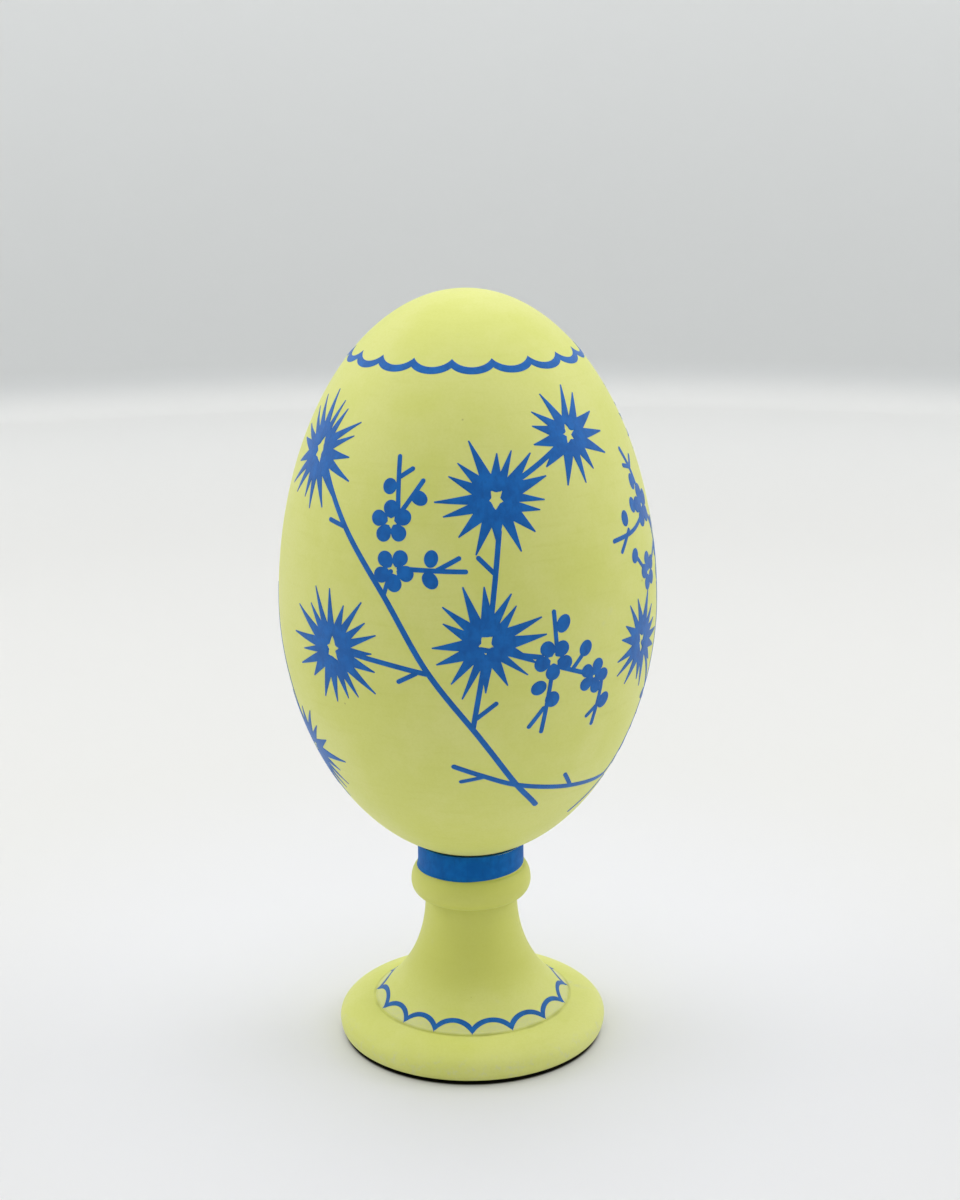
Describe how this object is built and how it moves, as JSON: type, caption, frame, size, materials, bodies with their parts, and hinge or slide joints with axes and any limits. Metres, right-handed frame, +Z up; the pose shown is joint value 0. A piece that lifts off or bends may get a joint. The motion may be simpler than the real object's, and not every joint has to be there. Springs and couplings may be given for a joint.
{
  "type": "pysanka decorated egg",
  "caption": "Painted wooden egg with folk flower sprays, standing upright on a turned stand with a round foot, flared stem, bead and collar; the egg turns and lifts off a hidden dowel.",
  "frame": {"origin": "centre of the foot's flat underside, on the turning axis of the stand and the egg", "axes": "+Z up the turning axis, from the foot to the egg's tip; -Y is the side of the main flower spray, +X is to its right"},
  "size_m": [0.06, 0.06, 0.1234],
  "materials": {
    "yellow_paint": "matte yellow-green poster paint on turned wood",
    "bare_wood": "bare turned wood",
    "blue_paint": "matte blue brush and pen paint over the yellow"
  },
  "bodies": {
    "stand": {"stand": "yellow_paint"},
    "dowel": {"dowel": "bare_wood"},
    "egg": {"egg": "yellow_paint"}
  },
  "joints": [
    {"name": "egg_turn", "type": "hinge", "parent": "stand", "child": "dowel", "pos_m": [0, 0, 0.031], "axis": [0, 0, 1], "continuous": true},
    {"name": "egg_lift", "type": "slide", "parent": "dowel", "child": "egg", "axis": [0, 0, 1], "range_m": [0, 0.04]}
  ]
}
